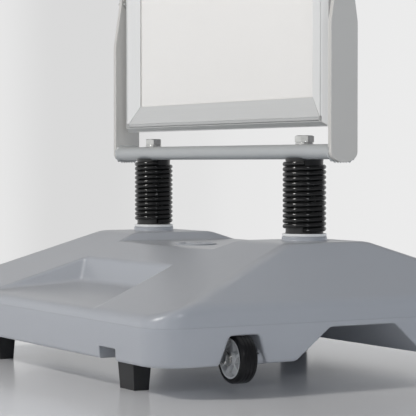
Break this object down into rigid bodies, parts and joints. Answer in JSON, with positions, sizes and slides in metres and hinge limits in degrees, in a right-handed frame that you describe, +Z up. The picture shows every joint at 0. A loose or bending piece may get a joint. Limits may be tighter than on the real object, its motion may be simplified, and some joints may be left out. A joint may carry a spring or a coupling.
{
  "type": "water base pavement sign",
  "caption": "Freestanding pavement sign: a double-sided poster snap frame on two close-wound springs above a hollow water ballast base with rubber feet and tilt wheels.",
  "frame": {"origin": "on the floor, midway between the two spring axes, which is the middle of the tank; the two tilt wheels stand out at +X, so the box centre lies 5 mm towards +X", "axes": "+X along the crossbar towards the end with the tilt wheels; +Z up; -Y is the front of the sign, which the picture shows"},
  "size_m": [0.588, 0.494, 0.9138],
  "materials": {
    "tank_plastic": "fine moulded grain, semi-matt blue-grey",
    "rubber": "matt black moulded rubber",
    "tyre": "semi-matt black rubber with fine circumferential grooves",
    "hub_plastic": "grey moulded nylon, satin",
    "zinc": "bright zinc plate",
    "brass": "plain turned brass",
    "white_nylon": "off-white nylon, satin",
    "black_nylon": "black moulded nylon, satin",
    "spring_steel": "black powder coat, semi-gloss",
    "grey_paint": "silver-grey powder coat, satin",
    "aluminium": "matt silver anodised extrusion",
    "clip_steel": "plain spring steel strip",
    "board": "white foamed plastic board",
    "paper": "blank white poster paper",
    "clear_sheet": "clear anti-glare plastic sheet"
  },
  "bodies": {
    "base": {"tank": "tank_plastic", "feet": "rubber", "axle_bolts": "zinc", "axle_washers": "zinc", "axle_inserts": "brass", "spring_pads": "white_nylon", "lower_plugs": "black_nylon", "lower_bolts": "zinc", "lower_washers": "zinc", "lower_nuts": "zinc", "spring_left": "spring_steel", "spring_right": "spring_steel"},
    "wheel_front": {"tyre_front": "tyre", "hub_front": "hub_plastic"},
    "wheel_back": {"tyre_back": "tyre", "hub_back": "hub_plastic"},
    "seal": {"filler_seal": "rubber"},
    "cap": {"filler_cap": "tank_plastic"},
    "sign": {"upper_plugs": "black_nylon", "upper_bolts": "zinc", "lock_washers": "zinc", "upper_nuts": "zinc", "crossbar": "grey_paint", "upright_left": "grey_paint", "upright_right": "grey_paint", "weld_beads": "grey_paint", "panel_bolts": "zinc", "panel_nuts": "zinc", "panel_spacers": "zinc", "strip_nuts": "zinc", "rail_bottom": "aluminium", "rail_top": "aluminium", "rail_left": "aluminium", "rail_right": "aluminium", "corner_keys": "zinc", "snap_clips": "clip_steel", "backing_board": "board", "poster_front": "paper", "poster_back": "paper", "cover_front": "clear_sheet", "cover_back": "clear_sheet"},
    "flap_front_bottom": {"flap_front_bottom": "aluminium"},
    "flap_front_top": {"flap_front_top": "aluminium"},
    "flap_front_left": {"flap_front_left": "aluminium"},
    "flap_front_right": {"flap_front_right": "aluminium"},
    "flap_back_bottom": {"flap_back_bottom": "aluminium"},
    "flap_back_top": {"flap_back_top": "aluminium"},
    "flap_back_left": {"flap_back_left": "aluminium"},
    "flap_back_right": {"flap_back_right": "aluminium"}
  },
  "joints": [
    {"name": "sign_sway", "type": "hinge", "parent": "base", "child": "sign", "pos_m": [0, 0, 0.2003], "axis": [1, 0, 0], "range_deg": [-25, 25], "stiffness_Nm_per_rad": 120, "deforming": ["spring_left", "spring_right"]},
    {"name": "wheel_front_spin", "type": "hinge", "parent": "base", "child": "wheel_front", "pos_m": [0.273, -0.145, 0.038], "axis": [0, 1, 0], "continuous": true},
    {"name": "wheel_back_spin", "type": "hinge", "parent": "base", "child": "wheel_back", "pos_m": [0.273, 0.145, 0.038], "axis": [0, 1, 0], "continuous": true},
    {"name": "cap_lift", "type": "slide", "parent": "base", "child": "seal", "axis": [0, 0, 1], "range_m": [0, 0.0135]},
    {"name": "cap_turn", "type": "hinge", "parent": "seal", "child": "cap", "pos_m": [0, -0.038, 0.1424], "axis": [0, 0, 1], "range_deg": [0, 1080]},
    {"name": "flap_front_bottom_open", "type": "hinge", "parent": "sign", "child": "flap_front_bottom", "pos_m": [0, -0.0096, 0.2844], "axis": [1, 0, 0], "range_deg": [0, 95]},
    {"name": "flap_front_top_open", "type": "hinge", "parent": "sign", "child": "flap_front_top", "pos_m": [0, -0.0096, 0.9056], "axis": [-1, 0, 0], "range_deg": [0, 95]},
    {"name": "flap_front_left_open", "type": "hinge", "parent": "sign", "child": "flap_front_left", "pos_m": [-0.2236, -0.0096, 0.595], "axis": [0, 0, -1], "range_deg": [0, 95]},
    {"name": "flap_front_right_open", "type": "hinge", "parent": "sign", "child": "flap_front_right", "pos_m": [0.2236, -0.0096, 0.595], "axis": [0, 0, 1], "range_deg": [0, 95]},
    {"name": "flap_back_bottom_open", "type": "hinge", "parent": "sign", "child": "flap_back_bottom", "pos_m": [0, 0.0096, 0.2844], "axis": [-1, 0, 0], "range_deg": [0, 95]},
    {"name": "flap_back_top_open", "type": "hinge", "parent": "sign", "child": "flap_back_top", "pos_m": [0, 0.0096, 0.9056], "axis": [1, 0, 0], "range_deg": [0, 95]},
    {"name": "flap_back_left_open", "type": "hinge", "parent": "sign", "child": "flap_back_left", "pos_m": [-0.2236, 0.0096, 0.595], "axis": [0, 0, 1], "range_deg": [0, 95]},
    {"name": "flap_back_right_open", "type": "hinge", "parent": "sign", "child": "flap_back_right", "pos_m": [0.2236, 0.0096, 0.595], "axis": [0, 0, -1], "range_deg": [0, 95]}
  ],
  "couplings": [
    {"joint": "cap_lift", "follows": "cap_turn", "m_per_rad": 0.00071619}
  ]
}
